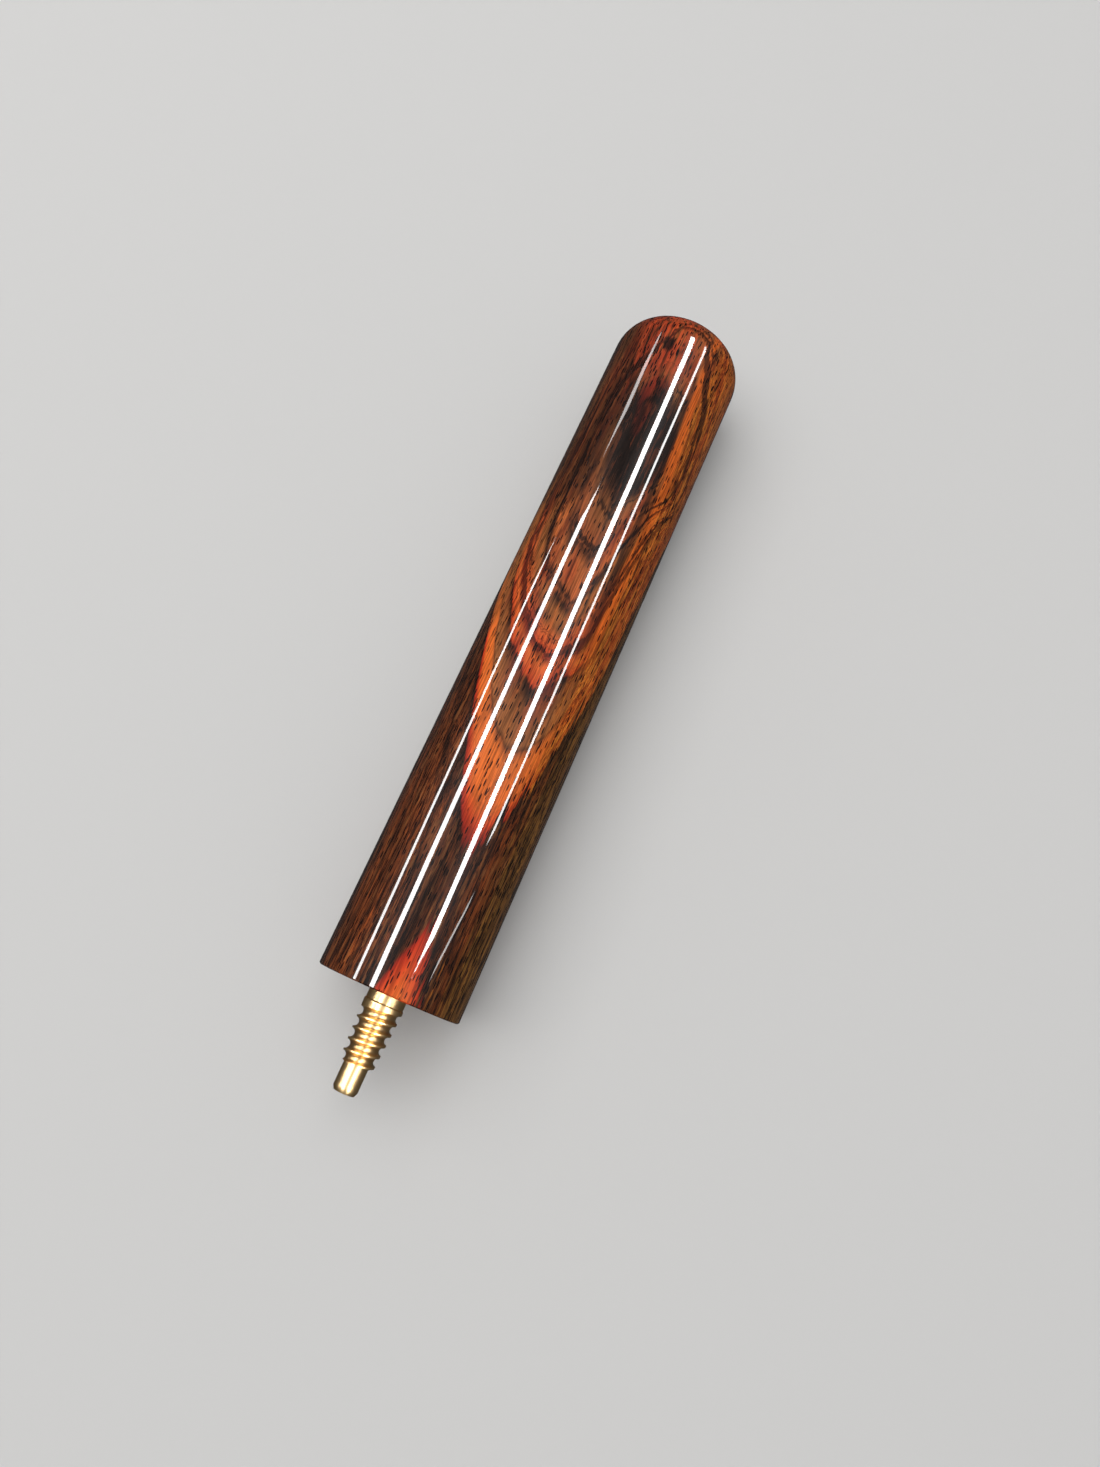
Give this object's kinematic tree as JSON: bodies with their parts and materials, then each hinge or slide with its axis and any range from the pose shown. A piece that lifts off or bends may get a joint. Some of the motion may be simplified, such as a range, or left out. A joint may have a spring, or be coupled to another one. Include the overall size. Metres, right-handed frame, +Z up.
{
  "type": "cue butt extension",
  "caption": "Short screw-on butt extension for a snooker or pool cue: glossy figured rosewood barrel with a rounded end and a threaded brass joint pin.",
  "frame": {"origin": "centre of the joint face, on the turning axis", "axes": "+Y along the axis from the joint face to the butt end, the pin points along -Y, +Z up with the extension lying on its side"},
  "size_m": [0.028, 0.1716, 0.028],
  "materials": {
    "lacquered_rosewood": "figured rosewood, orange-red to near black, under a clear high-gloss lacquer",
    "turned_brass": "bright turned, fine lathe marks",
    "cured_epoxy": "clear amber adhesive"
  },
  "bodies": {
    "root": {"wood_body": "lacquered_rosewood", "joint_pin": "turned_brass", "epoxy_bond": "cured_epoxy"}
  },
  "joints": []
}
